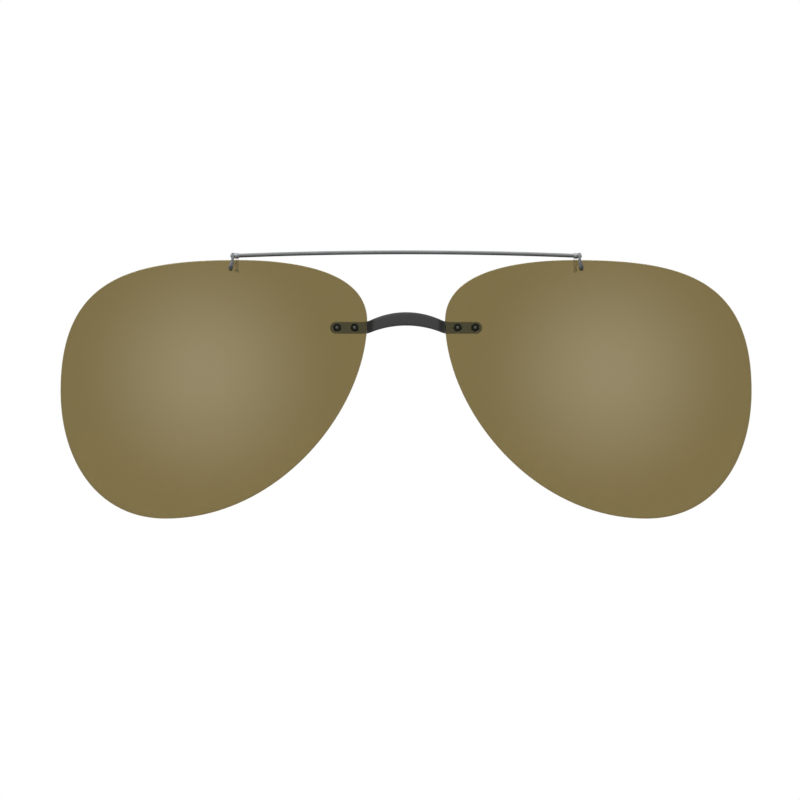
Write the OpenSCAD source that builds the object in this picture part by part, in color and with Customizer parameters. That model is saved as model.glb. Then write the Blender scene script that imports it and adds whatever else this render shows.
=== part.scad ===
// Clip-on flip lenses: a rimless pair of tinted lenses that hangs from a sprung wire bar.
// The bar's two hooks sit on the wearer's own lenses; the tinted pair flips up about the bar's ends.
// Millimetres. +X to the right as seen from the front, -Y to the front, +Z up.
// The origin is on the flip axis, midway between the two hooks.

/* [Lenses] */
// Distance from the middle of the bridge to each lens's inner edge
lens_inner = 7.75; // [7.5:0.05:8.25]
// Distance of each lens's highest point below the flip axis
lens_drop = 0.86; // [0.82:0.02:1]
// Height of each lens
lens_h = 51.6; // [50:0.1:53]
// Width of each lens
lens_w = 61.4; // [60:0.1:63]
// Thickness of each lens
lens_t = 1.5; // [1.3:0.05:1.5]
// Radius of the lens's curve, at the middle of its thickness
lens_r = 130; // [120:1:140]
// Angle by which each lens wraps round the face
lens_wrap = 5.2; // [4.6:0.1:5.8]

/* [Lens outline] */
// Highest point, from the inner edge
crown_x = 26.15; // [25:0.05:27]
// Innermost point, below the top
nose_z = 12.15; // [11:0.05:13]
// Lowest point, from the inner edge
sole_x = 40.35; // [39:0.05:42]
// Outermost point, below the top
temple_z = 26.05; // [25:0.05:27]
// Flatness of the top towards the nose
crown_in = 11.25; // [10.5:0.05:12]
// Flatness of the top towards the temple
crown_out = 21.6; // [20:0.05:23]
// Flatness of the inner edge, upwards
nose_up = 10.25; // [9:0.05:11]
// Flatness of the inner edge, downwards
nose_down = 17.4; // [16:0.05:19]
// Flatness of the bottom towards the nose
sole_in = 23.05; // [21:0.05:25]
// Flatness of the bottom towards the temple
sole_out = 13.45; // [12:0.05:15]
// Flatness of the outer edge, upwards
temple_up = 22.35; // [21:0.05:24]
// Flatness of the outer edge, downwards
temple_down = 14.35; // [13:0.05:16]

/* [Top bar and hooks] */
// Diameter of the bar's wire
wire_d = 0.8; // [0.7:0.05:0.8]
// Height of the bar's middle above its ends
bar_rise = 0.68; // [0.5:0.02:1]
// Distance from the middle to each hook
hook_x = 33.8; // [33.7:0.05:33.85]
// Width of the hook's strap
hook_w = 0.6; // [0.5:0.05:0.6]
// Thickness of the hook's strap
strap_t = 0.4; // [0.3:0.05:0.4]
// Thickness of the clear grip above and below the strap
grip_t = 0.3; // [0.2:0.05:0.3]
// Thickness of the spectacle lens that the hook holds
seat_gap = 2; // [1.8:0.1:2.4]
// Distance of that lens's mid-plane behind the flip axis
seat_y = 2.9; // [2.85:0.05:3.2]
// Thickness of the grip's two fingers
finger_t = 1; // [0.8:0.05:1]
// Reach of the grip's fingers below the flip axis
grip_reach = 3.4; // [3:0.1:4]

/* [Flip hinge] */
// Diameter of the hinge pins
pin_d = 0.6; // [0.5:0.05:0.6]
// Radial running clearance of a hanger's eye on its pin
pin_play = 0.03; // [0.02:0.01:0.05]
// Distance from the middle to each hanger
hanger_x = 34.6; // [34.6:0.05:34.8]
// Width of a hanger at its eye
hanger_w = 0.5; // [0.4:0.05:0.5]
// Distance from the middle to each hanger's rivet
rivet_x = 34.95; // [34.85:0.05:35.1]
// Depth of the rivet below the flip axis
rivet_z = 2.5; // [2.3:0.05:2.8]

/* [Bridge] */
// Height of the bridge's middle line at its centre, below the flip axis
bridge_z = 12.6; // [12.2:0.1:13]
// Height of its middle line at the pads, below the flip axis
pad_z = 14.44; // [14.2:0.02:14.7]
// Depth of the arch at its centre
arch_h = 2.7; // [2.5:0.05:3]
// Radius of the arch's middle line
arch_r = 17.8; // [17.3:0.1:18.3]
// Depth of the pads
pad_h = 2.35; // [2.2:0.05:2.4]
// Distance from the middle to the outer end of each pad
pad_end = 15.2; // [15:0.05:15.4]
// Thickness of the pads
pad_t = 1.1; // [1:0.05:1.2]
// Thickness of the arch
arch_t = 1.5; // [1.3:0.05:1.6]
// Distance from the middle to the centre of each lens's pair of pins
pins_x = 12.1; // [12:0.05:12.2]
// Spacing of the two pins
pins_pitch = 3.5; // [3.4:0.05:3.5]

/* [Hidden] */

$fn = 64;
cut = 10;              // how far a cutting tool runs past what it cuts
contact = 0.02;        // gap left between pieces of one body that touch
dome_flat = 0.05;      // how much larger a dome's radius is than the radius of its peg
outline_steps = 24;    // straight facets in each quarter of the lens outline

// Centre of the ball that the right lens is cut from, and the surfaces of the lens on it
ball_x = lens_inner + lens_w / 2 - lens_r * sin(lens_wrap);
ball_z = -lens_drop - lens_h / 2;
ball_y = sqrt(pow(lens_r, 2) - pow(hanger_x - ball_x, 2) - pow(ball_z, 2));
front_r = lens_r + lens_t / 2;
rear_r = lens_r - lens_t / 2;

// Hook: a barrel round the bar's end, a strap that reaches back, and a clear grip moulded over the strap
barrel_d = 1.1;
barrel_bore = wire_d + 0.06;
barrel_start = hook_x - 0.4;
barrel_end = hanger_x - hanger_w / 2 - 0.05;
pin_start = hook_x + 0.05;
seat_z = -lens_drop + 0.06;                 // underside of the grip, where the spectacle lens's edge sits
strap_z = seat_z + grip_t;                  // underside of the strap
grip_front = seat_y - seat_gap / 2 - finger_t;
grip_depth = seat_gap + 2 * finger_t;
grip_top = strap_z + strap_t + grip_t;
grip_w = hook_w + 0.2;
grip_bend = 0.4;                            // radius of the grip's upper corners
strap_end = grip_front + grip_depth - finger_t / 2;

// Hanger: an eye on the hinge pin over a clevis that straddles the lens
eye_d = 1.2;
head_d = 0.8;
head_t = 0.2;
pin_end = hanger_x + hanger_w / 2 + 0.05;
clevis_t = 0.35;                            // thickness of each leg
slot_half = lens_t / 2 + 0.07;
slot_top = 0.7;
shoulder = 0.9;
foot_r = 0.45;                              // round foot of each leg, about the rivet
rivet_d = 0.5;
rivet_head_d = 0.7;
rivet_head_t = 0.15;

// Bridge: an arch whose pads lie against the back of the lenses
pad_inner = lens_inner - 0.2;               // inner end of each pad
arch_end = pad_inner + 0.1;                 // end of the arch, a little way over the pads
fillet_r = 5;
fillet_x = sqrt(pow(arch_r + fillet_r, 2) - pow(arch_r + fillet_r + bridge_z - pad_z, 2));
tangent_x = fillet_x * arch_r / (arch_r + fillet_r);
arch_steps = 24;                            // straight facets in each half of the arch
end_steps = 16;                             // straight facets round the end of a pad
arch_plan_r = 46;                           // radius of the arch as seen from above
pad_front_r = rear_r - contact;
pad_rear_r = pad_front_r - pad_t;

// Pins and bushes that join the pads to the lenses
mount_pin_d = 0.7;
bush_d = 1.7;
bush_proud = 0.08;
pin_proud = 0.2;
rest_pad_d = 1.7;
rest_pad_t = 0.7;

// Depth of the right lens's middle surface at a place on it
function lens_y(x, z) = ball_y - sqrt(pow(lens_r, 2) - pow(x - ball_x, 2) - pow(z - ball_z, 2));

// A point on a cubic curve from a to d, pulled towards b and c
function curve(a, b, c, d, t) =
    pow(1 - t, 3) * a + 3 * pow(1 - t, 2) * t * b + 3 * (1 - t) * pow(t, 2) * c + pow(t, 3) * d;

// One quarter of the outline, without its last point
function quarter(a, b, c, d) = [for (i = [0:outline_steps - 1]) curve(a, b, c, d, i / outline_steps)];

// Outline of the right lens as [x, z]: it runs level at the crown and sole, upright at nose and temple
function lens_outline() =
    let (crown = [lens_inner + crown_x, -lens_drop])
    let (nose = [lens_inner, -lens_drop - nose_z])
    let (sole = [lens_inner + sole_x, -lens_drop - lens_h])
    let (temple = [lens_inner + lens_w, -lens_drop - temple_z])
    concat(
        quarter(crown, crown - [crown_in, 0], nose + [0, nose_up], nose),
        quarter(nose, nose - [0, nose_down], sole - [sole_in, 0], sole),
        quarter(sole, sole + [sole_out, 0], temple - [0, temple_down], temple),
        quarter(temple, temple + [0, temple_up], crown + [crown_out, 0], crown)
    );

// Height of the bridge's middle line: a crown arc, then a reverse fillet into the level pads
function bridge_line(x) =
    let (a = abs(x))
    a < tangent_x ? -bridge_z - arch_r + sqrt(pow(arch_r, 2) - pow(a, 2))
    : a < fillet_x ? -pad_z + fillet_r - sqrt(pow(fillet_r, 2) - pow(fillet_x - a, 2))
    : -pad_z;

// Half of the bridge's depth, which eases from the centre to the pads
function bridge_half(x) = let (a = min(abs(x) / fillet_x, 1)) (arch_h + (pad_h - arch_h) * pow(a, 2)) / 2;

// Draws its children on the other side of the middle plane
module flipped() {
    mirror([1, 0, 0]) children();
}

// Extrudes an [x, z] outline along Y, from front to back
module slab_xz(front, back) {
    translate([0, back, 0])
        rotate([90, 0, 0])
            linear_extrude(height = back - front)
                children();
}

// Extrudes a [y, z] outline along X, about the plane at x
module slab_yz(x, width) {
    translate([x - width / 2, 0, 0])
        rotate([90, 0, 90])
            linear_extrude(height = width)
                children();
}

// A round bar along X
module rod_x(d, from, to) {
    translate([from, 0, 0])
        rotate([0, 90, 0])
            cylinder(d = d, h = to - from);
}

// A round bar along the local Y, from front to back
module rod_y(d, front, back) {
    translate([0, back, 0])
        rotate([90, 0, 0])
            cylinder(d = d, h = back - front);
}

// Space between two balls that share the right lens's centre
module shell(outer_r, inner_r) {
    translate([ball_x, ball_y, ball_z])
        difference() {
            sphere(r = outer_r, $fn = 256);
            sphere(r = inner_r, $fn = 256);
        }
}

// Places its children at the pair of pins: local -Y is the lens's outward normal, X runs along the pair
module at_pins() {
    tilt = asin((-pad_z - ball_z) / lens_r);
    yaw = asin((pins_x - ball_x) / lens_r / cos(tilt));
    translate([pins_x, lens_y(pins_x, -pad_z), -pad_z])
        rotate([-tilt, 0, yaw])
            children();
}

// Places its children at one pin of the pair
module at_pin(side) {
    at_pins()
        translate([side * pins_pitch / 2, 0, 0])
            children();
}

// Places its children at the flip axis of the right hanger, leaning back with the lens below it
module at_hanger() {
    translate([hanger_x, 0, 0])
        rotate([-atan(lens_y(rivet_x, -rivet_z) / -rivet_z), 0, 0])
            children();
}

// Places its children at the right hanger's rivet, which runs along the local Y
module at_rivet() {
    at_hanger()
        translate([rivet_x - hanger_x, 0, -rivet_drop()])
            children();
}

// Distance down a hanger from the flip axis to its rivet
function rivet_drop() = norm([lens_y(rivet_x, -rivet_z), rivet_z]);

// Rectangle with a round upper pair of corners; its top left corner is the origin
module round_top(w, h, r) {
    translate([0, -h]) square([w, h - r]);
    translate([r, -r - contact]) square([w - 2 * r, r + contact]);
    for (x = [r, w - r])
        translate([x, -r]) circle(r = r);
}

// Half section of a short round peg of diameter d and height h, whose end is a dome
module domed(d, h) {
    r = d / 2 + dome_flat;
    intersection() {
        square([d / 2, h]);
        translate([0, h - r]) circle(r = r);
    }
}

// Finger of the grip, with a round tip
module grip_finger(y) {
    translate([y, -grip_reach + finger_t / 2]) circle(d = finger_t);
    translate([y - finger_t / 2, -grip_reach + finger_t / 2])
        square([finger_t, grip_reach - finger_t / 2 + seat_z]);
}

// Wire arch between the hooks: one shallow arc whose ends meet the flip axis
module top_bar() {
    bar_r = (pow(hook_x, 2) + pow(bar_rise, 2)) / (2 * bar_rise);
    half = asin(hook_x / bar_r);
    color("slategray")
        translate([0, 0, bar_rise - bar_r])
            rotate([90, 0, 0])
                rotate_extrude(angle = 2 * half, start = 90 - half, $fn = 256)
                    translate([bar_r, 0])
                        circle(d = wire_d, $fn = 32);
}

// Flat strap that reaches back over the spectacle lens
module strap() {
    slab_yz(hook_x, hook_w)
        translate([0, strap_z])
            square([strap_end, strap_t]);
}

// Barrel on the bar's end, and its strap
module right_hook() {
    color("silver")
        difference() {
            union() {
                rod_x(barrel_d, barrel_start, barrel_end);
                strap();
            }
            rod_x(barrel_bore, 0, hook_x);
            rod_x(pin_d, hook_x - contact, barrel_end + cut);
        }
}

// Clear grip round the strap: a block whose two fingers take the spectacle lens between them
module right_grip() {
    color("gainsboro")
        difference() {
            slab_yz(hook_x, grip_w) {
                translate([grip_front, grip_top])
                    round_top(grip_depth, grip_top - seat_z, grip_bend);
                for (side = [-1, 1])
                    grip_finger(seat_y + side * (seat_gap + finger_t) / 2);
            }
            strap();
        }
}

// Hinge pin pressed into the hook's barrel, with a domed head that keeps the hanger on
module right_hinge_pin() {
    color("silver")
        rotate([0, 90, 0])
            translate([0, 0, pin_start])
                rotate_extrude() {
                    square([pin_d / 2, pin_end - pin_start + head_t / 2]);
                    translate([0, pin_end - pin_start])
                        domed(head_d, head_t);
                }
}

// Side view of a hanger: shoulders below the eye, then two straight legs
module hanger_side() {
    leg = slot_half + clevis_t;
    polygon([
        [-eye_d / 2, 0], [-leg, -shoulder], [-leg, -rivet_drop()],
        [leg, -rivet_drop()], [leg, -shoulder], [eye_d / 2, 0]
    ]);
}

// Front view of a hanger: narrow at the eye, with legs that splay outwards and widen to the foot
module hanger_front() {
    foot_x = rivet_x - hanger_x;
    foot_half = foot_r - 0.03;    // a little inside the round foot, which then fuses with the legs
    polygon([
        [-hanger_w / 2, eye_d], [-hanger_w / 2, -shoulder], [foot_x - foot_half, -rivet_drop()],
        [foot_x + foot_half, -rivet_drop()], [hanger_w / 2, -shoulder], [hanger_w / 2, eye_d]
    ]);
}

// Clevis that hangs from the hinge pin by its eye and straddles the top of the lens
module right_hanger() {
    leg = slot_half + clevis_t;
    color("dimgray")
        difference() {
            union() {
                at_hanger()
                    intersection() {
                        union() {
                            rod_x(eye_d, -cut, cut);
                            slab_yz(0, 2 * cut) hanger_side();
                        }
                        slab_xz(-cut, cut) hanger_front();
                    }
                at_rivet() rod_y(2 * foot_r, -leg, leg);
            }
            at_hanger()
                slab_yz(0, 2 * cut)
                    translate([-slot_half, -cut])
                        square([2 * slot_half, cut - slot_top]);
            at_hanger() rod_x(pin_d + 2 * pin_play, -cut, cut);
            at_rivet() rod_y(rivet_d, -cut, cut);
        }
}

// Rivet through the hanger's legs and the lens, headed at both ends
module right_hanger_rivet() {
    leg = slot_half + clevis_t;
    color("black")
        at_rivet() {
            rod_y(rivet_d, -leg - rivet_head_t / 2, leg + rivet_head_t / 2);
            rod_y(rivet_head_d, -leg - rivet_head_t, -leg);
            rod_y(rivet_head_d, leg, leg + rivet_head_t);
        }
}

// Curved, tinted lens, drilled for its two bushes and its hanger's rivet
module right_lens() {
    color("darkkhaki")
        difference() {
            intersection() {
                shell(front_r, rear_r);
                slab_xz(-cut, cut)
                    polygon(lens_outline());
            }
            for (side = [-1, 1])
                at_pin(side)
                    rod_y(bush_d, -cut, cut);
            at_rivet()
                rod_y(rivet_d + 2 * contact, -cut, cut);
        }
}

// Front view of the bridge: the arch between two level pads with round ends
module bridge_outline() {
    flat_x = pad_end - pad_h / 2;
    xs = [for (i = [-arch_steps:arch_steps]) fillet_x * i / arch_steps];
    top = [for (x = xs) [x, bridge_line(x) + bridge_half(x)]];
    bottom = [for (x = xs) [-x, bridge_line(x) - bridge_half(x)]];
    right_end = [for (i = [0:end_steps]) pad_h / 2 * [sin(180 * i / end_steps), cos(180 * i / end_steps)]];
    polygon(concat(
        top,
        [for (p = right_end) [flat_x, -pad_z] + p],
        bottom,
        [for (p = right_end) [-flat_x, -pad_z] - p]
    ));
}

// Plan of the bridge on the right: a curved arch, then a pad that follows the back of the lens
module bridge_half_space() {
    arch_y = lens_y(pad_inner, -pad_z) + lens_t / 2 + pad_t;
    arch_centre = arch_y + sqrt(pow(arch_plan_r, 2) - pow(pad_inner, 2));
    intersection() {
        translate([0, arch_centre, -pad_z])
            difference() {
                cylinder(r = arch_plan_r + arch_t, h = cut, center = true, $fn = 256);
                cylinder(r = arch_plan_r, h = 2 * cut, center = true, $fn = 256);
            }
        slab_xz(-cut, cut)
            translate([-contact, -pad_z - cut]) square([arch_end + contact, 2 * cut]);
    }
    intersection() {
        shell(pad_front_r, pad_rear_r);
        slab_xz(-cut, cut)
            translate([pad_inner, -pad_z - cut]) square([cut, 2 * cut]);
    }
}

// Bridge that joins the two lenses, drilled for its four pins
module bridge() {
    color("dimgray")
        difference() {
            intersection() {
                slab_xz(-cut, cut)
                    bridge_outline();
                union() {
                    bridge_half_space();
                    flipped() bridge_half_space();
                }
            }
            for (side = [-1, 1]) {
                at_pin(side) rod_y(mount_pin_d, -cut, cut);
                flipped() at_pin(side) rod_y(mount_pin_d, -cut, cut);
            }
        }
}

// Pin pressed into the bridge's pad, whose domed tip stands out through the bush
module mount_pin(side) {
    tip = mount_pin_d / 4;
    front = -lens_t / 2 - pin_proud + tip;
    back = lens_t / 2 + contact + pad_t;
    color("silver")
        at_pin(side) {
            rod_y(mount_pin_d, front, back);
            translate([0, front, 0])
                rotate([90, 0, 0])
                    rotate_extrude()
                        domed(mount_pin_d, tip);
        }
}

// Dark bush that lines a hole of the lens round its pin
module mount_bush(side) {
    color("black")
        at_pin(side)
            difference() {
                rod_y(bush_d, -lens_t / 2 - bush_proud, lens_t / 2 - contact);
                rod_y(mount_pin_d, -cut, cut);
            }
}

// Soft button behind the pad, which keeps the tinted lens off the spectacle lens
module right_rest_pad() {
    color("gainsboro")
        at_pins()
            translate([0, lens_t / 2 + 2 * contact + pad_t, 0])
                rotate([-90, 0, 0])
                    rotate_extrude()
                        domed(rest_pad_d, rest_pad_t);
}

top_bar();
flipped() right_hook();  // left_hook
right_hook();
flipped() right_grip();  // left_grip
right_grip();
flipped() right_hinge_pin();  // left_hinge_pin
right_hinge_pin();
flipped() right_hanger();  // left_hanger
right_hanger();
flipped() right_hanger_rivet();  // left_hanger_rivet
right_hanger_rivet();
flipped() right_lens();  // left_lens
right_lens();
bridge();
flipped() mount_pin(-1);  // left_inner_pin
flipped() mount_pin(1);  // left_outer_pin
mount_pin(-1);  // right_inner_pin
mount_pin(1);  // right_outer_pin
flipped() mount_bush(-1);  // left_inner_bush
flipped() mount_bush(1);  // left_outer_bush
mount_bush(-1);  // right_inner_bush
mount_bush(1);  // right_outer_bush
flipped() right_rest_pad();  // left_rest_pad
right_rest_pad();
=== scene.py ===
import math

import bpy
from mathutils import Matrix, Vector
from mathutils.geometry import delaunay_2d_cdt


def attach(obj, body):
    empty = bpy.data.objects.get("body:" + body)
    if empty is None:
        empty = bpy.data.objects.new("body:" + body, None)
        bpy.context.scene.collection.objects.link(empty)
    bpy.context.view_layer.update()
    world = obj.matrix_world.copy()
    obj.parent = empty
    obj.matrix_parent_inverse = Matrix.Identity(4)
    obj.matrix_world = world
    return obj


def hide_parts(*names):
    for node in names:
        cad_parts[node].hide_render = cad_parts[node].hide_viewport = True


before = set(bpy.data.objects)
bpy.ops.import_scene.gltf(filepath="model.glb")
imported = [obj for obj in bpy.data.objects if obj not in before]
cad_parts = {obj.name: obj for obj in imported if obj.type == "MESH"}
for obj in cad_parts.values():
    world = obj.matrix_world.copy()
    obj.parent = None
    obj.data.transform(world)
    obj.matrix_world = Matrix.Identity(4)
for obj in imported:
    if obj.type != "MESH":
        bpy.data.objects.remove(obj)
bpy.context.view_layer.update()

# Clip-on flip lenses. Shapes are worked out in millimetres in the CAD's frame: +X to the right as seen
# from the front, -Y to the front, +Z up, origin on the flip axis. build() turns them into metres.

MM = 0.001

# ---------------------------------------------------------------- sizes in millimetres

LENS_INNER = 7.75       # inner edge, from the middle plane
LENS_TOP = -0.86        # highest point, from the flip axis
LENS_W = 61.4
LENS_H = 51.6
LENS_T = 1.5
LENS_R = 130.0          # radius of the lens's curve, at the middle of its thickness
LENS_WRAP = 5.2         # degrees by which a lens wraps round the face
LENS_BEVEL = 0.14       # polished corner round the edge

WIRE_D = 0.8
BAR_RISE = 0.68         # height of the bar's middle above its ends
HOOK_X = 33.8
HOOK_W = 0.6
BARREL = (33.4, 34.3)   # from and to, along X
BARREL_D = 1.1
STRAP_T = 0.4
STRAP_END = 4.4         # how far the strap reaches back
GRIP_T = 0.3            # clear plastic above and below the strap
GRIP_W = 0.8
FINGER_T = 1.0
FINGER_TIP = -3.4
SEAT_GAP = 2.0          # thickness of the spectacle lens in the grip
SEAT_Y = 2.9            # its middle plane
SEAT_Z = -0.8           # where its top edge sits

HANGER_X = 34.6         # middle of the eye
HANGER_W = 0.5          # width at the eye
EYE_D = 1.2
SHOULDER_Z = -0.9
SLOT_Z = -0.7           # top of the slot for the lens
SLOT = LENS_T / 2 + 0.07
LEG = SLOT + 0.35       # outer face of a leg, from the middle of the slot
FOOT_R = 0.45
RIVET_X = 34.95
RIVET_Z = -2.5
RIVET_D = 0.5
RIVET_HEAD_D = 0.7
HINGE_PIN_D = 0.6
HINGE_HEAD_D = 0.8
END_PLAY = 0.05         # gap between a part and the next one along the flip axis

BRIDGE_Z = -12.6        # middle line at the centre
ARCH_H = 2.7            # depth at the centre
ARCH_R = 17.8           # radius of the middle line
FILLET_R = 5.0          # reverse curve between the arch and the pads
ARCH_T = 1.5
ARCH_PLAN_R = 46.0      # radius of the arch as seen from above
PAD_Z = -14.44
PAD_H = 2.35
PAD_T = 1.1
PAD_END = 15.2
PINS_X = 12.1           # middle of a pair of pins
PINS_PITCH = 3.5
PIN_D = 0.7
PIN_PROUD = 0.2         # how far a pin's tip stands out of the lens
BUSH_D = 1.7
BUSH_PROUD = 0.08
REST_PAD_D = 1.7
REST_PAD_T = 0.7
CONTACT = 0.02          # gap between pieces that touch

# Centre of the ball that the right lens is cut from
BALL_X = LENS_INNER + LENS_W / 2 - LENS_R * math.sin(math.radians(LENS_WRAP))
BALL_Z = LENS_TOP - LENS_H / 2
BALL_Y = math.sqrt(LENS_R**2 - (HANGER_X - BALL_X) ** 2 - BALL_Z**2)
BALL = Vector((BALL_X, BALL_Y, BALL_Z))

FRONT_R = LENS_R + LENS_T / 2
REAR_R = LENS_R - LENS_T / 2


def ball_y(x, z, radius):
    """Depth of a ball about the lens's centre, on its front side. The left lens mirrors the right."""
    return BALL_Y - math.sqrt(radius**2 - (abs(x) - BALL_X) ** 2 - (z - BALL_Z) ** 2)


def place_at_hanger():
    """Frame on the flip axis at the right hanger, leaning with the line from the axis to its rivet."""
    lean = math.atan(ball_y(RIVET_X, RIVET_Z, LENS_R) / RIVET_Z)
    return Matrix.Translation((HANGER_X, 0, 0)) @ Matrix.Rotation(-lean, 4, "X")


def place_at_pins():
    """Frame at the right lens's pair of pins: local -Y is the lens's outward normal."""
    tilt = math.asin((PAD_Z - BALL_Z) / LENS_R)
    yaw = math.asin((PINS_X - BALL_X) / LENS_R / math.cos(tilt))
    move = Matrix.Translation((PINS_X, ball_y(PINS_X, PAD_Z, LENS_R), PAD_Z))
    return move @ Matrix.Rotation(yaw, 4, "Z") @ Matrix.Rotation(-tilt, 4, "X")


RIVET_DROP = math.hypot(ball_y(RIVET_X, RIVET_Z, LENS_R), RIVET_Z)
AT_HANGER = place_at_hanger()
AT_RIVET = AT_HANGER @ Matrix.Translation((RIVET_X - HANGER_X, 0, -RIVET_DROP))
AT_PINS = place_at_pins()
AT_PIN = {
    "inner": AT_PINS @ Matrix.Translation((-PINS_PITCH / 2, 0, 0)),
    "outer": AT_PINS @ Matrix.Translation((PINS_PITCH / 2, 0, 0)),
}
FACING_BACK = Matrix.Rotation(math.pi, 4, "Z")
ALONG_X = Matrix.Rotation(math.pi / 2, 4, "Z")      # local -Y points along +X


# ---------------------------------------------------------------- mesh tools


class Shape:
    """Points in millimetres and faces, with a material slot and optional corner normals for each face."""

    def __init__(self, *parts):
        self.points = []
        self.faces = []
        self.slots = []
        self.normals = []
        for points, faces in parts:
            self.add(points, faces)

    def add(self, points, faces, slot=0, normals=None):
        """Adds points and the faces between them, and returns the index of the first point."""
        start = len(self.points)
        self.points += [Vector(p) for p in points]
        for i, face in enumerate(faces):
            self.face([start + k for k in face], slot, normals[i] if normals else None)
        return start

    def face(self, corners, slot, normals):
        """Adds a face between points that the shape has already."""
        self.faces.append(corners)
        self.slots.append(slot)
        self.normals.append(normals)

    def mirrored(self):
        """The same shape on the other side of the middle plane."""
        other = Shape()
        other.points = [Vector((-p.x, p.y, p.z)) for p in self.points]
        other.faces = [face[::-1] for face in self.faces]
        other.slots = list(self.slots)
        other.normals = [
            [Vector((-n.x, n.y, n.z)) for n in reversed(corners)] if corners else None
            for corners in self.normals
        ]
        return other


def build(node, shape, materials, body, sharp=40):
    """Makes the smooth-shaded piece that stands for a CAD node, riding on its body."""
    mesh = bpy.data.meshes.new(node + "_look")
    mesh.from_pydata([p * MM for p in shape.points], [], shape.faces)
    for material in materials:
        mesh.materials.append(material)
    mesh.polygons.foreach_set("material_index", shape.slots)
    mesh.polygons.foreach_set("use_smooth", [True] * len(shape.faces))
    if all(shape.normals):
        mesh.normals_split_custom_set([n for corners in shape.normals for n in corners])
    else:
        mesh.set_sharp_from_angle(angle=math.radians(sharp))
    mesh.update()
    piece = bpy.data.objects.new(node + "_look", mesh)
    bpy.context.scene.collection.objects.link(piece)
    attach(piece, body)
    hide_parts(node)


def build_pair(name, shape, materials, body):
    """Makes the right piece of a pair from its shape, and the left one as its mirror image."""
    build("right_" + name, shape, materials, body)
    build("left_" + name, shape.mirrored(), materials, body)


def ring_faces(count, first, second):
    """Quads between two closed rings of the same number of points."""
    return [
        (first + i, first + (i + 1) % count, second + (i + 1) % count, second + i)
        for i in range(count)
    ]


def loft(rings, joined=False):
    """A skin over rings of points that run counter-clockwise about the way ahead, with its ends either
    capped or joined to each other."""
    count = len(rings[0])
    points = [p for ring in rings for p in ring]
    faces = []
    for k in range(len(rings) - 1):
        faces += ring_faces(count, k * count, (k + 1) * count)
    last = len(points) - count
    if joined:
        faces += ring_faces(count, last, 0)
    else:
        faces += [tuple(reversed(range(count))), tuple(range(last, len(points)))]
    return points, faces


def lathe(profile, place, joined=False, steps=40):
    """Turns (radius, y) pairs, from front to back, about the local Y of a frame. A joined profile is a
    closed loop that goes back along the bore."""
    turn = [math.tau * i / steps for i in range(steps)]
    rings = []
    for radius, y in profile:
        rings.append([place @ Vector((radius * math.sin(a), y, radius * math.cos(a))) for a in turn])
    return loft(rings, joined)


def dome(radius, rim_y, height, steps=7):
    """Profile of a dome from its pole, which faces the front, to its rim."""
    angles = [math.pi / 2 * i / steps for i in range(1, steps + 1)]
    return [(radius * math.sin(a), rim_y - height * math.cos(a)) for a in angles]


def rounded(width, height, radius, steps=4):
    """Points of a rectangle with rounded corners about its centre, counter-clockwise."""
    points = []
    for quarter, (side, end) in enumerate(((1, 1), (-1, 1), (-1, -1), (1, -1))):
        for i in range(steps + 1):
            a = math.pi / 2 * (quarter + i / steps)
            x = side * (width / 2 - radius) + radius * math.cos(a)
            points.append((x, end * (height / 2 - radius) + radius * math.sin(a)))
    return points


def circle(diameter, steps=24):
    """Points of a circle, counter-clockwise."""
    turn = [math.tau * i / steps for i in range(steps)]
    return [(diameter / 2 * math.cos(a), diameter / 2 * math.sin(a)) for a in turn]


def arc(centre, radius, start, end, steps):
    """Points round a centre from one angle to another in degrees, ends included."""
    angles = [math.radians(start + (end - start) * i / steps) for i in range(steps + 1)]
    return [(centre[0] + radius * math.cos(a), centre[1] + radius * math.sin(a)) for a in angles]


def sweep(path, section, side):
    """Carries a section of (along side, along up) pairs down a path in the plane square to side."""
    side = Vector(side)
    rings = []
    for i, point in enumerate(path):
        ahead = path[min(i + 1, len(path) - 1)] - path[max(i - 1, 0)]
        up = ahead.cross(side).normalized()
        rings.append([point + side * a + up * b for a, b in section])
    return loft(rings)


def inset_loop(loop, distance):
    """A counter-clockwise loop of points moved inwards."""
    moved = []
    for i, point in enumerate(loop):
        before = Vector(point) - Vector(loop[i - 1])
        after = Vector(loop[(i + 1) % len(loop)]) - Vector(point)
        normals = [Vector((-v.y, v.x)).normalized() for v in (before, after)]
        middle = (normals[0] + normals[1]).normalized()
        reach = distance / max(0.5, middle.dot(normals[0]))
        moved.append((point[0] + middle.x * reach, point[1] + middle.y * reach))
    return moved


def prism(outline, x, width, bevel):
    """A plate along X over a counter-clockwise outline of (y, z) points, with its two rims rounded."""
    rims = []
    for angle in (0, 30, 60, 90):
        a = math.radians(angle)
        rims.append((width / 2 - bevel * (1 - math.cos(a)), bevel * (1 - math.sin(a))))
    sides = [(-w, inset) for w, inset in rims] + [(w, inset) for w, inset in reversed(rims)]
    rings = []
    for offset, inset in sides:
        rings.append([Vector((x + offset, y, z)) for y, z in inset_loop(outline, inset)])
    return loft(rings)


def band(stations, corner):
    """A strap bent in the YZ plane. Each station gives the (y, z) points of its inner and outer faces and
    its limits along X. Its corners are rounded, by less where it is thin."""
    most = 0.45             # largest rounding, as a share of a side
    rings = []
    for inner, outer, low_x, high_x in stations:
        inner = Vector(inner)
        outer = Vector(outer)
        depth = (outer - inner).length
        width = high_x - low_x
        along = (outer - inner) / depth
        ring = []
        for a, b in rounded(depth, width, min(corner, depth * most, width * most)):
            y, z = (inner + outer) / 2 + along * a
            ring.append(Vector(((low_x + high_x) / 2 + b, y, z)))
        rings.append(ring)
    return loft(rings)


def smooth_step(low, high, value):
    """0 below low, 1 above high, and a smooth rise between them."""
    t = min(max((value - low) / (high - low), 0), 1)
    return t * t * (3 - 2 * t)


# ---------------------------------------------------------------- lenses

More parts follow.
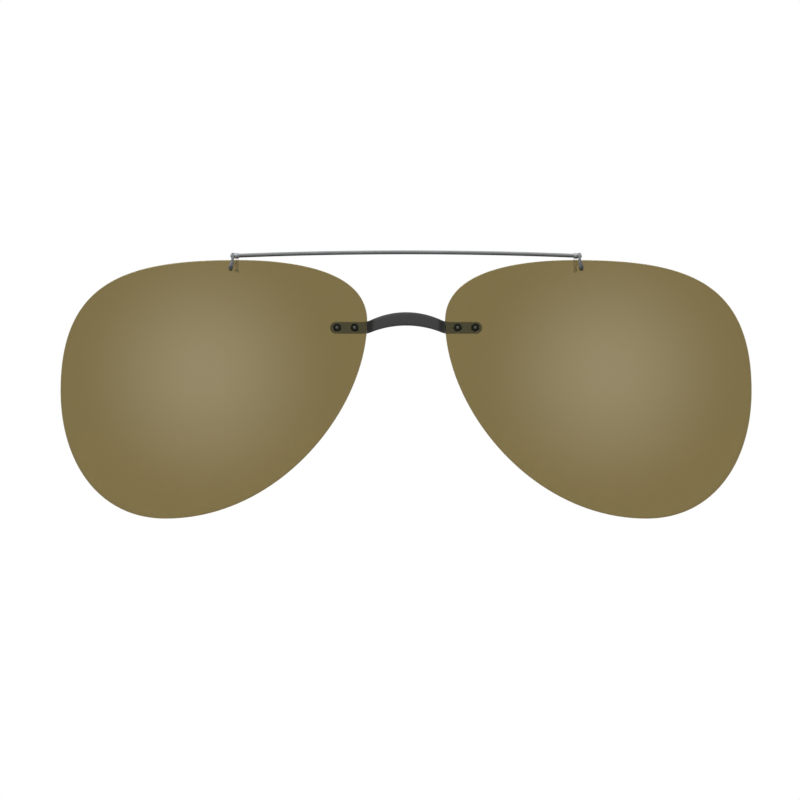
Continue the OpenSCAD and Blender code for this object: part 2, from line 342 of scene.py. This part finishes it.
CROWN_X = 26.15         # highest point, from the inner edge
NOSE_Z = 12.15          # innermost point, below the top
SOLE_X = 40.35          # lowest point, from the inner edge
TEMPLE_Z = 26.05        # outermost point, below the top
CROWN_IN = 11.25        # flatness of the top towards the nose
CROWN_OUT = 21.6        # flatness of the top towards the temple
NOSE_UP = 10.25         # flatness of the inner edge, upwards
NOSE_DOWN = 17.4        # flatness of the inner edge, downwards
SOLE_IN = 23.05         # flatness of the bottom towards the nose
SOLE_OUT = 13.45        # flatness of the bottom towards the temple
TEMPLE_UP = 22.35       # flatness of the outer edge, upwards
TEMPLE_DOWN = 14.35     # flatness of the outer edge, downwards
QUARTER_STEPS = 44
HOLE_STEPS = 32
PLATE_GRID = 1.7        # spacing of the points inside a lens's surface
WELD = 1e-7             # points nearer to each other than this are one
INSIDE_ONLY = 1         # the triangulation's mode that leaves out what is outside the rim
POLISHED = 0            # a lens's two materials
GROUND = 1


def quarter_curve(start, pull_start, pull_end, end):
    """A cubic curve without its last point."""
    first = start + pull_start
    second = end + pull_end
    points = []
    for i in range(QUARTER_STEPS):
        t = i / QUARTER_STEPS
        s = 1 - t
        points.append(s**3 * start + 3 * s**2 * t * first + 3 * s * t**2 * second + t**3 * end)
    return points


def lens_outline():
    """Outline of the right lens as (x, z) points, counter-clockwise: level at the crown and sole, upright
    at the nose and temple."""
    crown = Vector((LENS_INNER + CROWN_X, LENS_TOP))
    nose = Vector((LENS_INNER, LENS_TOP - NOSE_Z))
    sole = Vector((LENS_INNER + SOLE_X, LENS_TOP - LENS_H))
    temple = Vector((LENS_INNER + LENS_W, LENS_TOP - TEMPLE_Z))
    return (
        quarter_curve(crown, Vector((-CROWN_IN, 0)), Vector((0, NOSE_UP)), nose)
        + quarter_curve(nose, Vector((0, -NOSE_DOWN)), Vector((-SOLE_IN, 0)), sole)
        + quarter_curve(sole, Vector((SOLE_OUT, 0)), Vector((0, -TEMPLE_DOWN)), temple)
        + quarter_curve(temple, Vector((0, TEMPLE_UP)), Vector((CROWN_OUT, 0)), crown)
    )


def inside(x, z, loop):
    """True if a point lies inside a closed loop."""
    found = False
    for i, (x1, z1) in enumerate(loop):
        x0, z0 = loop[i - 1]
        if (z0 > z) != (z1 > z) and x < (x1 - x0) * (z - z0) / (z1 - z0) + x0:
            found = not found
    return found


def pierce(place, x, z, radius):
    """Where the line along a frame's local Y through its local (x, z) meets a ball about BALL."""
    start = place @ Vector((x, 0, z)) - BALL
    outward = place.to_3x3() @ Vector((0, -1, 0))
    along = start.dot(outward)
    reach = -along + math.sqrt(along**2 - start.length_squared + radius**2)
    return start + outward * reach + BALL


def hole_rims(place, diameter):
    """Front and rear rim of a hole drilled through the lens along a frame's local Y."""
    rim = circle(diameter, HOLE_STEPS)
    return [[pierce(place, x, z, radius) for x, z in rim] for radius in (FRONT_R, REAR_R)]


def plate(rim, holes, radius):
    """Points and triangles of a lens surface inside its rim and round its holes. The rim's points come
    first, then each hole's."""
    loops = [rim] + holes
    edges = []
    start = 0
    for loop in loops:
        edges += [(start + i, start + (i + 1) % len(loop)) for i in range(len(loop))]
        start += len(loop)
    fixed = [(p.x, p.z) for loop in loops for p in loop]
    flat = list(fixed)
    for row in range(int(LENS_H / PLATE_GRID) + 1):
        for column in range(int(LENS_W / PLATE_GRID) + 1):
            x = LENS_INNER + PLATE_GRID * (column + row % 2 / 2)
            z = LENS_TOP - PLATE_GRID * row
            clear = min((x - a) ** 2 + (z - b) ** 2 for a, b in fixed) > (PLATE_GRID / 2) ** 2
            if clear and inside(x, z, fixed[: len(rim)]):
                flat.append((x, z))
    found, _, faces, sources, _, _ = delaunay_2d_cdt(
        [Vector(p) for p in flat], edges, [list(range(len(rim)))], INSIDE_ONLY, WELD
    )
    openings = [[(p.x, p.z) for p in hole] for hole in holes]
    triangles = []
    for face in faces:
        x, z = sum([found[k] for k in face], Vector((0, 0))) / 3
        if not any(inside(x, z, opening) for opening in openings):
            triangles.append([sources[k][0] for k in face])
    points = [p for loop in loops for p in loop]
    points += [Vector((x, ball_y(x, z, radius), z)) for x, z in flat[start:]]
    return points, triangles


def add_surfaces(shape, rim, holes):
    """Adds a lens's front and rear, and returns the first point of each."""
    starts = []
    for side, radius, sign in ((0, FRONT_R, 1), (1, REAR_R, -1)):
        border = [Vector((x, ball_y(x, z, radius), z)) for x, z in rim]
        points, triangles = plate(border, [pair[side] for pair in holes], radius)
        normals = [(p - BALL).normalized() * sign for p in points]
        for i, (a, b, c) in enumerate(triangles):
            if (points[b] - points[a]).cross(points[c] - points[a]).dot(normals[a]) < 0:
                triangles[i] = (a, c, b)
        corners = [[normals[k] for k in triangle] for triangle in triangles]
        starts.append(shape.add(points, triangles, POLISHED, corners))
    return starts


def add_edge(shape, outline, rim, front, rear):
    """Adds a lens's ground edge between two polished corners, whose rims start at front and rear."""
    count = len(outline)
    front_edge = [Vector((x, ball_y(x, z, FRONT_R) + LENS_BEVEL, z)) for x, z in outline]
    rear_edge = [Vector((x, ball_y(x, z, REAR_R) - LENS_BEVEL, z)) for x, z in outline]
    edge = shape.add(front_edge + rear_edge, [])
    ahead = [(shape.points[front + i] - BALL).normalized() for i in range(count)]
    behind = [(BALL - shape.points[rear + i]).normalized() for i in range(count)]
    outward = [Vector((a[0] - b[0], 0, a[1] - b[1])).normalized() for a, b in zip(outline, rim)]
    for first, second, near, far, slot in (
        (front, edge, ahead, outward, POLISHED),
        (edge, edge + count, outward, outward, GROUND),
        (edge + count, rear, outward, behind, POLISHED),
    ):
        for i in range(count):
            j = (i + 1) % count
            corners = [first + i, second + i, second + j, first + j]
            shape.face(corners, slot, [near[i], far[i], far[j], near[j]])


def add_bore(shape, front, rear):
    """Adds the wall of a lens's hole between its rims, which start at front and rear."""
    middles = [sum(shape.points[rim : rim + HOLE_STEPS], Vector()) / HOLE_STEPS for rim in (front, rear)]
    centres = (middles[0], middles[0], middles[1], middles[1])
    for i in range(HOLE_STEPS):
        j = (i + 1) % HOLE_STEPS
        corners = [front + i, front + j, rear + j, rear + i]
        normals = [(centre - shape.points[k]).normalized() for centre, k in zip(centres, corners)]
        shape.face(corners, GROUND, normals)


def lens_shape():
    """The right lens: two ball surfaces, a ground edge with polished corners, and three drilled holes."""
    outline = lens_outline()
    rim = inset_loop(outline, LENS_BEVEL)
    holes = [hole_rims(AT_PIN[which], BUSH_D) for which in ("inner", "outer")]
    holes.append(hole_rims(AT_RIVET, RIVET_D + 2 * CONTACT))
    shape = Shape()
    front, rear = add_surfaces(shape, rim, holes)
    add_edge(shape, outline, rim, front, rear)
    for i in range(len(holes)):
        before = len(rim) + i * HOLE_STEPS
        add_bore(shape, front + before, rear + before)
    return shape


# ---------------------------------------------------------------- bridge and its fittings

ARCH_END = LENS_INNER - 0.1
FRONT_TURN = (ARCH_END - 1.3, ARCH_END + 0.1)       # where the arch's front passes to the pads' front
REAR_TURN = (ARCH_END - 1.3, ARCH_END + 0.8)        # and its rear to theirs
ARCH_SQUARE = 4.5       # squareness of the arch's section: 2 is an oval, and more is squarer
PAD_SQUARE = 6.0
SQUARE_TURN = (6.5, 9.0)                            # where one squareness passes to the other
FILLET_X = math.sqrt((ARCH_R + FILLET_R) ** 2 - (ARCH_R + FILLET_R + PAD_Z - BRIDGE_Z) ** 2)
TANGENT_X = FILLET_X * ARCH_R / (ARCH_R + FILLET_R)
ARCH_REAR_Y = ball_y(LENS_INNER, PAD_Z, LENS_R) + LENS_T / 2 + PAD_T
ARCH_CENTRE_Y = ARCH_REAR_Y + math.sqrt(ARCH_PLAN_R**2 - LENS_INNER**2)


def bridge_line(x):
    """Height of the bridge's middle line: a crown arc, then a reverse fillet into the level pads."""
    x = abs(x)
    if x < TANGENT_X:
        return BRIDGE_Z - ARCH_R + math.sqrt(ARCH_R**2 - x**2)
    if x < FILLET_X:
        return PAD_Z + FILLET_R - math.sqrt(FILLET_R**2 - (FILLET_X - x) ** 2)
    return PAD_Z


def bridge_ring(x, half_depth):
    """Ring of the bridge's skin at x: a rounded block between its front and rear surfaces, which pass
    from the curved arch to the lens's rear."""
    pad_r = REAR_R - CONTACT
    square = ARCH_SQUARE + (PAD_SQUARE - ARCH_SQUARE) * smooth_step(*SQUARE_TURN, abs(x))
    arch_front = ARCH_CENTRE_Y - math.sqrt((ARCH_PLAN_R + ARCH_T) ** 2 - x**2)
    arch_rear = ARCH_CENTRE_Y - math.sqrt(ARCH_PLAN_R**2 - x**2)
    front_share = smooth_step(*FRONT_TURN, abs(x))
    rear_share = smooth_step(*REAR_TURN, abs(x))
    ring = []
    for cosine, sine in circle(diameter=2, steps=40):
        across = math.copysign(abs(cosine) ** (2 / square), cosine)
        upward = math.copysign(abs(sine) ** (2 / square), sine)
        z = bridge_line(x) + half_depth * upward
        front = arch_front + (ball_y(x, z, pad_r) - arch_front) * front_share
        rear = arch_rear + (ball_y(x, z, pad_r - PAD_T) - arch_rear) * rear_share
        ring.append(Vector((x, (front + rear) / 2 + across * (rear - front) / 2, z)))
    return ring


def bridge_shape():
    """The bridge's skin, from one round pad end to the other."""
    flat_x = PAD_END - PAD_H / 2
    # The tip stops just short of 90 degrees, where its last ring would be a point
    tip = [math.radians(angle) for angle in (*range(0, 90, 6), 88)]
    ends = [(flat_x + PAD_H / 2 * math.sin(a), PAD_H / 2 * math.cos(a)) for a in tip]
    steps = 96
    middle = []
    for i in range(1, steps):
        x = flat_x * (2 * i / steps - 1)
        share = min(abs(x) / FILLET_X, 1) ** 2
        middle.append((x, (ARCH_H + (PAD_H - ARCH_H) * share) / 2))
    stations = [(-x, half) for x, half in reversed(ends)] + middle + ends
    return Shape(loft([bridge_ring(x, half) for x, half in stations]))


def pin_shape(place):
    """Pin through a pad, a bush and the lens, with a domed tip in front."""
    radius = PIN_D / 2
    tip = 0.175
    corner = 0.04
    front = -LENS_T / 2 - PIN_PROUD
    rear = LENS_T / 2 + CONTACT + PAD_T
    profile = dome(radius, front + tip, tip) + [(radius, rear - corner), (radius - corner, rear)]
    return Shape(lathe(profile, place))


def bush_shape(place):
    """Bush round a pin, with a rounded rim that stands a little proud of the lens."""
    ease = 0.005
    outer = BUSH_D / 2 - ease
    bore = PIN_D / 2 + ease
    front = -LENS_T / 2 - BUSH_PROUD
    rear = LENS_T / 2 - CONTACT
    # Distances from the wall and from the front, round each of the rim's two corners
    inner_corner = ((0, 0.12), (0.04, 0.03), (0.12, 0))
    outer_corner = ((0.16, 0), (0.05, 0.02), (0, 0.08))
    profile = [(bore, rear)]
    profile += [(bore + inwards, front + back) for inwards, back in inner_corner]
    profile += [(outer - inwards, front + back) for inwards, back in outer_corner]
    profile += [(outer, rear)]
    return Shape(lathe(profile, place, joined=True))


def rest_pad_shape():
    """Soft domed button behind the bridge's pad."""
    radius = REST_PAD_D / 2
    crown = 0.45
    base = -LENS_T / 2 - 2 * CONTACT - PAD_T
    profile = dome(radius, base - REST_PAD_T + crown, crown) + [(radius, base)]
    return Shape(lathe(profile, AT_PINS @ FACING_BACK))


# ---------------------------------------------------------------- bar, hooks and hangers

FLAT_CORNER = 0.06      # rounding of the corners of straps and legs


def bar_shape():
    """The wire arch: one shallow arc whose ends meet the flip axis."""
    radius = (HOOK_X**2 + BAR_RISE**2) / (2 * BAR_RISE)
    steps = 160
    path = []
    for i in range(steps + 1):
        x = HOOK_X * (2 * i / steps - 1)
        path.append(Vector((x, 0, BAR_RISE - radius + math.sqrt(radius**2 - x**2))))
    return Shape(sweep(path, circle(WIRE_D), (0, 1, 0)))


def hook_shape():
    """Hook: a barrel on the bar's end, and a flat strap that reaches back over the spectacle lens."""
    core = 0.3              # radius inside the barrel from which the strap and the barrel's ends start
    bend = 0.08
    near, far = BARREL
    strap_z = SEAT_Z + GRIP_T + STRAP_T / 2
    strap = [Vector((HOOK_X, y, strap_z)) for y in (core, STRAP_END - 0.05)]
    profile = [(core, -far)]
    profile += arc((BARREL_D / 2 - bend, -far + bend), bend, -90, 0, 3)
    profile += arc((BARREL_D / 2 - bend, -near - bend), bend, 0, 90, 3)
    profile += [(core, -near)]
    return Shape(sweep(strap, rounded(HOOK_W, STRAP_T, FLAT_CORNER), (1, 0, 0)), lathe(profile, ALONG_X))


def hinge_pin_shape():
    """Hinge pin pressed into the hook's barrel, with a domed head outside the hanger."""
    radius = HINGE_HEAD_D / 2
    rim = 0.06
    crown = 0.13
    corner = 0.02
    under = HANGER_X + HANGER_W / 2 + END_PLAY
    profile = dome(radius, -under - rim, crown)
    profile += [(radius, -under - corner), (radius - corner, -under)]
    profile += [(HINGE_PIN_D / 2, -under), (HINGE_PIN_D / 2, -HOOK_X - END_PLAY)]
    return Shape(lathe(profile, ALONG_X))


def grip_shape():
    """Clear grip: a block round the strap's end, whose two fingers take the spectacle lens between them."""
    near = SEAT_Y - SEAT_GAP / 2
    far = SEAT_Y + SEAT_GAP / 2
    tip_z = FINGER_TIP + FINGER_T / 2
    top = SEAT_Z + STRAP_T + 2 * GRIP_T
    bend = 0.4
    soft = 0.15
    rim = 0.12
    outline = arc((near - FINGER_T / 2, tip_z), FINGER_T / 2, 180, 360, 12)
    outline += arc((near + soft, SEAT_Z - soft), soft, 180, 90, 4)
    outline += arc((far - soft, SEAT_Z - soft), soft, 90, 0, 4)
    outline += arc((far + FINGER_T / 2, tip_z), FINGER_T / 2, 180, 360, 12)
    outline += arc((far + FINGER_T - bend, top - bend), bend, 0, 90, 6)
    outline += arc((near - FINGER_T + bend, top - bend), bend, 90, 180, 6)
    return Shape(prism(outline, HOOK_X, GRIP_W, rim))


def hanger_shape():
    """Hanger: one band that runs up the front leg, over the eye and down the rear leg. Its legs widen
    outwards to a round foot."""
    foot_x = RIVET_X - HANGER_X
    half = HANGER_W / 2
    leg = []
    for angle in (85, 70, 55, 40, 25, 12, 0):
        reach = FOOT_R * math.cos(math.radians(angle))
        z = -RIVET_DROP - FOOT_R * math.sin(math.radians(angle))
        leg.append(((-SLOT, z), (-LEG, z), foot_x - reach, foot_x + reach))
    leg.append(((-SLOT, SHOULDER_Z), (-LEG, SHOULDER_Z), -half, half))
    over = []
    level = 12              # degrees above level at which the eye passes to the legs
    eye = arc((0, 0), EYE_D / 2, 180 - level, level, 14)
    for i, outer in enumerate(eye):
        inner = (SLOT * (2 * i / (len(eye) - 1) - 1), SLOT_Z)
        over.append((inner, outer, -half, half))
    down = [((-a[0], a[1]), (-b[0], b[1]), low, high) for a, b, low, high in reversed(leg)]
    points, faces = band(leg + over + down, FLAT_CORNER)
    return Shape(([AT_HANGER @ p for p in points], faces))


def rivet_shape():
    """Rivet through the hanger's legs, with a low domed head at each end."""
    rim = 0.04
    crown = 0.11
    half = dome(RIVET_HEAD_D / 2, -LEG - rim, crown) + [(RIVET_HEAD_D / 2, -LEG), (RIVET_D / 2, -LEG)]
    profile = half + [(radius, -y) for radius, y in reversed(half)]
    return Shape(lathe(profile, AT_RIVET))


# ---------------------------------------------------------------- materials

LENS_IOR = 1.586        # polycarbonate
COOL = -0.03            # warmth of a steely grey
WARM = 0.1


class Nodes:
    """A node tree, with short ways to add nodes to it."""

    def __init__(self, tree):
        self.tree = tree

    def put(self, socket, value):
        """Sets a socket to a value, or links it to an output."""
        if isinstance(value, bpy.types.NodeSocket):
            self.tree.links.new(value, socket)
        else:
            socket.default_value = value

    def set(self, node, **inputs):
        """Sets or links a node's sockets, named with _ for each space."""
        for name, value in inputs.items():
            self.put(node.inputs[name.replace("_", " ")], value)

    def node(self, kind, **inputs):
        """A new node with some sockets set."""
        made = self.tree.nodes.new(kind)
        self.set(made, **inputs)
        return made

    def operate(self, kind, operation, *values):
        """A Math or Vector Math node with its first sockets set."""
        made = self.node(kind)
        made.operation = operation
        for socket, value in zip(made.inputs, values):
            self.put(socket, value)
        return made

    def calculate(self, operation, first, second):
        """A Math node's result."""
        return self.operate("ShaderNodeMath", operation, first, second).outputs["Value"]

    def spread(self, value, low, high, start=0.3, end=0.7, kind="LINEAR"):
        """Maps a value from start..end to low..high."""
        made = self.node(
            "ShaderNodeMapRange", Value=value, From_Min=start, From_Max=end, To_Min=low, To_Max=high
        )
        made.interpolation_type = kind
        return made.outputs["Result"]


class Finish(Nodes):
    """A material with one Principled shader."""

    def __init__(self, name, **sockets):
        self.material = bpy.data.materials.new(name)
        self.material.use_nodes = True
        super().__init__(self.material.node_tree)
        self.shader = self.tree.nodes["Principled BSDF"]
        self.set(self.shader, **sockets)
        self.place = self.node("ShaderNodeTexCoord").outputs["Object"]

    def vectors(self, operation, *values):
        """A Vector Math node."""
        return self.operate("ShaderNodeVectorMath", operation, *values)

    def distance(self, first, second):
        """Distance between two points or the length between two directions."""
        return self.vectors("DISTANCE", first, second).outputs["Value"]

    def noise(self, scale, detail=3.0, stretch=(1, 1, 1)):
        """Noise from 0 to 1 with features of 1/scale metres, drawn out where stretch is below 1."""
        place = self.place
        if stretch != (1, 1, 1):
            place = self.node("ShaderNodeMapping", Vector=place, Scale=stretch).outputs["Vector"]
        return self.node("ShaderNodeTexNoise", Vector=place, Scale=scale, Detail=detail).outputs["Fac"]

    def mix(self, share, first, second):
        """A colour between two colours."""
        made = self.node("ShaderNodeMix")
        made.data_type = "RGBA"
        for name, value in (("Factor_Float", share), ("A_Color", first), ("B_Color", second)):
            self.put(next(s for s in made.inputs if s.identifier == name), value)
        return next(s for s in made.outputs if s.identifier == "Result_Color")

    def bump(self, height, strength, distance):
        """Drives the shader's normal with a height."""
        made = self.node("ShaderNodeBump", Height=height, Strength=strength, Distance=distance)
        self.set(self.shader, Normal=made.outputs["Normal"])

    def worn(self, colour, bare, radius=0.00006):
        """A colour that turns to bare where the surface turns a corner, in patches."""
        softened = self.node("ShaderNodeBevel", Radius=radius).outputs["Normal"]
        true = self.node("ShaderNodeNewGeometry").outputs["Normal"]
        edges = self.spread(self.distance(softened, true), 0.0, 1.0, 0.08, 0.5)
        patches = self.spread(self.noise(1400.0), 0.15, 1.0)
        return self.mix(self.calculate("MULTIPLY", edges, patches), colour, bare)


def grey(level, warmth=0.0):
    """A near-neutral colour."""
    return (level * (1 + warmth), level, level * (1 - warmth), 1)


def lens_finish():
    """Tinted lens with a faint bronze flash coat, deep at the rim, paler round a painted soft-light
    reflection.
    """
    # Painted reflection of a soft light: the tint pales round this centre, within this reach.
    painted_reflection_centre = Vector((40.3, 0.0, -23.0)) * MM
    painted_reflection_reach = 28.0 * MM
    bronze = (1.0, 0.93, 0.55, 1)
    tint_under_painted_reflection = (0.257, 0.205, 0.112, 1)
    deep_tint = (0.157, 0.112, 0.036, 1)
    finish = Finish("tinted_lens", Transmission_Weight=1.0, IOR=LENS_IOR, Specular_Tint=bronze)
    # The place on the right lens that mirrors this one, flattened onto its middle plane. The whole lens is
    # below the flip axis, so its height is minus the unsigned one.
    unsigned = finish.vectors("ABSOLUTE", finish.place).outputs["Vector"]
    flattened = finish.vectors("MULTIPLY", unsigned, (1, 0, -1)).outputs["Vector"]
    away = finish.distance(flattened, painted_reflection_centre)
    # Share of the lens's own deep tint, rising away from the painted reflection's paler tint.
    depth = finish.spread(away, 0.0, 1.0, 0.0, painted_reflection_reach, "SMOOTHSTEP")
    tint = finish.mix(depth, tint_under_painted_reflection, deep_tint)
    smear = finish.noise(70.0, 5.0)
    finish.set(finish.shader, Base_Color=tint, Roughness=finish.spread(smear, 0.0, 0.03, 0.45, 0.75))
    return finish.material


def lens_edge_finish():
    """Ground edge of a lens: the same tint, finely frosted."""
    finish = Finish("lens_edge", Transmission_Weight=0.8, IOR=LENS_IOR)
    grain = finish.noise(9000.0, 2.0)
    tint = finish.mix(grain, (0.26, 0.20, 0.08, 1), (0.34, 0.27, 0.12, 1))
    finish.set(finish.shader, Base_Color=tint, Roughness=finish.spread(grain, 0.22, 0.4))
    finish.bump(grain, 0.2, 0.00002)
    return finish.material


def metal_finish(name, dark, light, roughness, stretch=(1, 1, 1)):
    """Satin metal, brushed along the axis on which its grain is drawn out."""
    finish = Finish(name, Metallic=1.0)
    grain = finish.noise(3500.0, 3.0, stretch)
    cloud = finish.noise(260.0, 2.0)
    base = finish.mix(cloud, dark, light)
    bare = tuple(min(1.0, c * 1.8) for c in light[:3]) + (1,)
    finish.set(
        finish.shader,
        Base_Color=finish.worn(base, bare),
        Roughness=finish.spread(grain, roughness - 0.07, roughness + 0.09),
    )
    finish.bump(grain, 0.25, 0.00001)
    return finish.material


def plain_finish(name, dark, light, rough, grain_scale, sheen, rubbed=None):
    """Moulded or coated surface with a fine grain, rubbed along its edges if a colour is given."""
    finish = Finish(name, Specular_IOR_Level=sheen)
    grain = finish.noise(grain_scale, 4.0)
    base = finish.mix(finish.noise(180.0, 2.0), dark, light)
    if rubbed:
        base = finish.worn(base, rubbed)
    finish.set(finish.shader, Base_Color=base, Roughness=finish.spread(grain, rough[0], rough[1]))
    finish.bump(grain, 0.3, 0.00002)
    return finish.material


def clear_finish(name, light, milk, rough):
    """Clear or milky moulding with a very fine grain. Milk is the share of light that scatters."""
    finish = Finish(name, Transmission_Weight=1 - milk, IOR=1.45)
    grain = finish.noise(3000.0, 3.0)
    base = finish.mix(grain, grey(light - 0.06, 0.02), grey(light, 0.02))
    finish.set(finish.shader, Base_Color=base, Roughness=finish.spread(grain, rough[0], rough[1]))
    finish.bump(grain, 0.15, 0.00002)
    return finish.material


# ---------------------------------------------------------------- studio


def world_light():
    """A white sweep to the eye and through glass. Surfaces are lit by a soft room: dim below, bright round
    the horizon, brightest overhead."""
    darkest = 0.6
    # Where each rise starts and ends, as the sine of the height above the horizon, and what it adds
    rises = ((-0.7, -0.42, 0.55), (0.6, 0.85, 0.6))
    world = bpy.data.worlds.new("studio")
    bpy.context.scene.world = world
    world.use_nodes = True
    world.node_tree.nodes.clear()
    nodes = Nodes(world.node_tree)
    direction = nodes.node("ShaderNodeTexCoord").outputs["Generated"]
    height = nodes.node("ShaderNodeSeparateXYZ", Vector=direction).outputs["Z"]
    level = darkest
    for start, end, rise in rises:
        level = nodes.calculate("ADD", nodes.spread(height, 0, rise, start, end, "SMOOTHSTEP"), level)
    room = nodes.node("ShaderNodeBackground", Color=grey(1), Strength=level)
    white = nodes.node("ShaderNodeBackground", Color=grey(1))
    path = nodes.node("ShaderNodeLightPath").outputs
    seen = nodes.calculate("MAXIMUM", path["Is Camera Ray"], path["Is Transmission Ray"])
    mix = nodes.node("ShaderNodeMixShader", Fac=seen)
    for socket, light in zip(mix.inputs[1:], (room, white)):
        nodes.put(socket, light.outputs["Background"])
    nodes.node("ShaderNodeOutputWorld", Surface=mix.outputs["Shader"])


def soft_light(name, place, size, power):
    """A square soft light that faces the object."""
    data = bpy.data.lights.new(name, "AREA")
    data.size = size
    data.energy = power
    lamp = bpy.data.objects.new(name, data)
    lamp.location = place
    lamp.rotation_euler = (-lamp.location).to_track_quat("-Z", "Y").to_euler()
    bpy.context.scene.collection.objects.link(lamp)


def floor():
    """A round pale floor below the camera's view, kept out of reflections so that the lenses mirror only
    the room."""
    height = -0.2           # metres, like the diameter
    diameter = 2.6
    steps = 96
    mesh = bpy.data.meshes.new("floor")
    mesh.from_pydata([(x, y, height) for x, y in circle(diameter, steps)], [], [tuple(range(steps))])
    finish = Finish("floor_paint", Roughness=0.7)
    tone = finish.noise(3.0)
    finish.set(finish.shader, Base_Color=finish.mix(tone, grey(0.86), grey(0.9)))
    mesh.materials.append(finish.material)
    disc = bpy.data.objects.new("floor", mesh)
    disc.visible_glossy = False
    bpy.context.scene.collection.objects.link(disc)


def camera():
    """Level camera straight in front of the lenses, with a long lens."""
    data = bpy.data.cameras.new("camera")
    data.lens = 270
    data.sensor_width = 36
    data.clip_start = 0.01
    data.clip_end = 20
    eye = bpy.data.objects.new("camera", data)
    eye.location = (-0.00122, -1.197, -0.02877)
    eye.rotation_euler = (math.radians(90), 0, 0)
    bpy.context.scene.collection.objects.link(eye)
    bpy.context.scene.camera = eye


# ---------------------------------------------------------------- the object

tinted = lens_finish()
ground = lens_edge_finish()
wire = metal_finish("bar_wire", grey(0.10, COOL), grey(0.15, COOL), roughness=0.3, stretch=(0.06, 1, 1))
hook_metal = metal_finish("hook_metal", grey(0.16, COOL), grey(0.22, COOL), roughness=0.3)
hinge_metal = metal_finish("hinge_pin_metal", grey(0.25), grey(0.32), roughness=0.22)
fitting_metal = metal_finish("fitting_pin_metal", grey(0.045, WARM), grey(0.065, WARM), roughness=0.2)
hanger_metal = metal_finish(
    "hanger_metal", grey(0.07, COOL), grey(0.10, COOL), roughness=0.32, stretch=(1, 1, 0.15)
)
rivet_metal = metal_finish("rivet_metal", grey(0.035), grey(0.055), roughness=0.35)
coat = plain_finish(
    "bridge_coat",
    grey(0.017),
    grey(0.024),
    rough=(0.42, 0.6),
    grain_scale=5200.0,
    sheen=0.26,
    rubbed=grey(0.06),
)
black = plain_finish(
    "bush_rubber",
    (0.004, 0.005, 0.003, 1),
    (0.007, 0.008, 0.005, 1),
    rough=(0.5, 0.65),
    grain_scale=7000.0,
    sheen=0.04,
)
clear = clear_finish("clear_grip", light=0.92, milk=0.08, rough=(0.06, 0.16))
soft_pad = clear_finish("rest_pad_silicone", light=0.8, milk=0.5, rough=(0.3, 0.45))

build("top_bar", bar_shape(), [wire], "clip_bar")
build_pair("hook", hook_shape(), [hook_metal], "clip_bar")
build_pair("grip", grip_shape(), [clear], "clip_bar")
build_pair("hinge_pin", hinge_pin_shape(), [hinge_metal], "clip_bar")
build_pair("lens", lens_shape(), [tinted, ground], "lens_unit")
build_pair("hanger", hanger_shape(), [hanger_metal], "lens_unit")
build_pair("hanger_rivet", rivet_shape(), [rivet_metal], "lens_unit")
build("bridge", bridge_shape(), [coat], "lens_unit", sharp=60)
for which in ("inner", "outer"):
    build_pair(which + "_pin", pin_shape(AT_PIN[which]), [fitting_metal], "lens_unit")
    build_pair(which + "_bush", bush_shape(AT_PIN[which]), [black], "lens_unit")
build_pair("rest_pad", rest_pad_shape(), [soft_pad], "lens_unit")

world_light()
soft_light("key", (-0.5, -0.9, 0.8), size=0.6, power=5)
soft_light("top", (0.1, -0.1, 1.1), size=0.8, power=4)
floor()
camera()
bpy.context.scene.view_settings.view_transform = "Standard"
